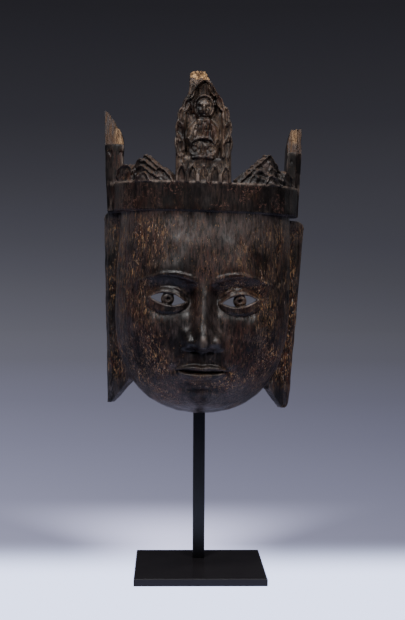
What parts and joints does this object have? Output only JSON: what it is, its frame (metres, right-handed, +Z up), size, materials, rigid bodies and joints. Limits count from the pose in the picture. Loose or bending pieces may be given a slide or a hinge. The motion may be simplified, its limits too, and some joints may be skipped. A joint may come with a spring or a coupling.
{
  "type": "display mask on stand",
  "caption": "Carved dark wooden nuo mask with an openwork crown, on a black steel post and base plate.",
  "frame": {"origin": "middle of the base plate's underside", "axes": "+Z up, the mask faces -Y, +X to the viewer's right"},
  "size_m": [0.2253, 0.1431, 0.5385],
  "materials": {
    "carved_wood": "satin",
    "black_steel": "satin"
  },
  "bodies": {
    "root": {"mask": "carved_wood", "stand_post": "black_steel", "base_plate": "black_steel"}
  },
  "joints": []
}
